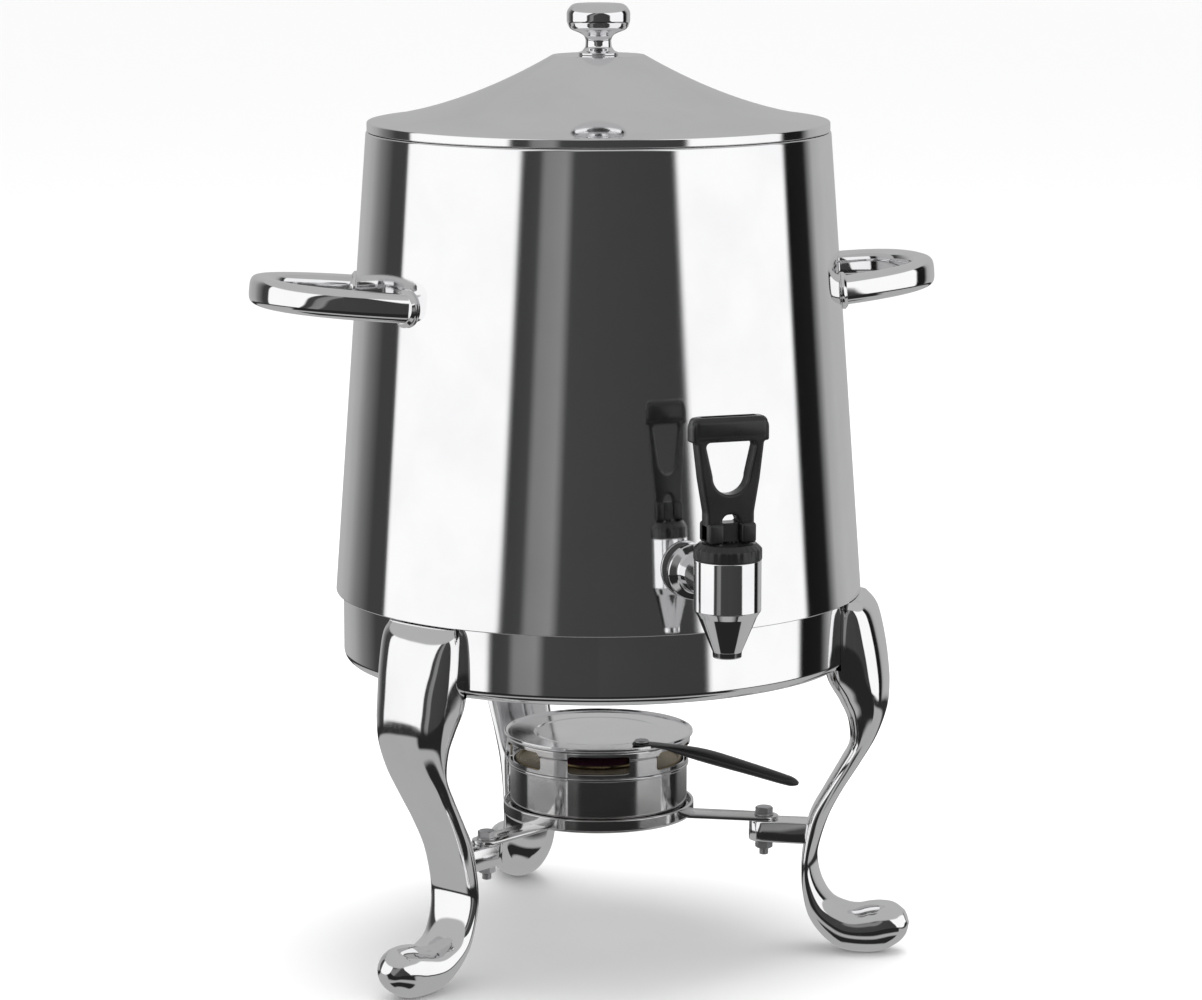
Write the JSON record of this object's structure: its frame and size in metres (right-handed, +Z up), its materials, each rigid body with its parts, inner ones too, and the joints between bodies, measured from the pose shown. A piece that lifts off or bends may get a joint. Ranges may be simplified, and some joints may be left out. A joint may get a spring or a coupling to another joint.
{
  "type": "coffee urn",
  "caption": "Tapered polished steel coffee urn on cabriole legs with a lift-off lid, lever tap, loop handles, water pan and a fuel burner with a swinging cover.",
  "frame": {"origin": "on the floor under the urn's axis", "axes": "+Z up along the urn's axis; the tap points along -Y, the handles along +X and -X, the rear leg along +Y"},
  "size_m": [0.3664, 0.366, 0.4911],
  "materials": {
    "polished_steel": "mirror-polished stainless steel",
    "satin_steel": "satin stainless steel",
    "black_resin": "moulded black phenolic resin",
    "seal_rubber": "moulded silicone rubber",
    "lacquered_tin": "gold-lacquered tinplate",
    "fuel_gel": "translucent alcohol gel"
  },
  "bodies": {
    "stand": {"water_pan": "polished_steel", "leg_front_left": "polished_steel", "leg_front_right": "polished_steel", "leg_rear": "polished_steel", "leg_screws": "satin_steel", "leg_sealing_washers": "seal_rubber", "burner_frame": "satin_steel", "frame_bolts": "satin_steel", "frame_nuts": "satin_steel", "frame_washers": "satin_steel"},
    "burner": {"burner_cup": "polished_steel", "burner_top_ring": "polished_steel", "fuel_tin": "lacquered_tin", "fuel_gel": "fuel_gel"},
    "damper": {"damper_cover": "polished_steel", "damper_handle": "black_resin", "damper_rivet": "satin_steel"},
    "urn": {"urn_shell": "polished_steel", "urn_bottom": "satin_steel", "handle_left": "polished_steel", "handle_right": "polished_steel", "handle_rosettes": "polished_steel", "handle_screws": "satin_steel", "handle_washers": "satin_steel", "tap_body": "polished_steel", "tap_gasket_outer": "seal_rubber", "tap_gasket_inner": "seal_rubber", "tap_nut": "satin_steel", "tap_bonnet": "black_resin", "tap_spring": "satin_steel"},
    "valve": {"tap_stem": "black_resin", "tap_seat_cup": "seal_rubber"},
    "lever": {"tap_lever": "black_resin", "tap_pin": "satin_steel"},
    "lid": {"lid_shell": "polished_steel", "lid_plug_ring": "satin_steel", "lid_knob": "polished_steel", "lid_knob_screw": "satin_steel", "lid_knob_washer": "satin_steel"}
  },
  "joints": [
    {"name": "burner_lift", "type": "slide", "parent": "stand", "child": "burner", "axis": [0, 0, 1], "range_m": [0, 0.03]},
    {"name": "damper_swing", "type": "hinge", "parent": "burner", "child": "damper", "pos_m": [0.00957, -0.03987, 0.11], "axis": [0, 0, 1], "range_deg": [-90, 0]},
    {"name": "urn_lift", "type": "slide", "parent": "stand", "child": "urn", "axis": [0, 0, 1], "range_m": [0, 0.3]},
    {"name": "valve_lift", "type": "slide", "parent": "urn", "child": "valve", "axis": [0, 0, 1], "range_m": [0, 0.0045], "deforming": ["tap_spring"]},
    {"name": "lever_tilt", "type": "hinge", "parent": "valve", "child": "lever", "pos_m": [0, -0.185, 0.249], "axis": [1, 0, 0], "range_deg": [0, 35], "stiffness_Nm_per_rad": 0.8, "springref_deg": -17.19},
    {"name": "lid_lift", "type": "slide", "parent": "urn", "child": "lid", "axis": [0, 0, 1], "range_m": [0, 0.25]}
  ],
  "couplings": [
    {"joint": "valve_lift", "follows": "lever_tilt", "m_per_rad": 0.00736}
  ]
}
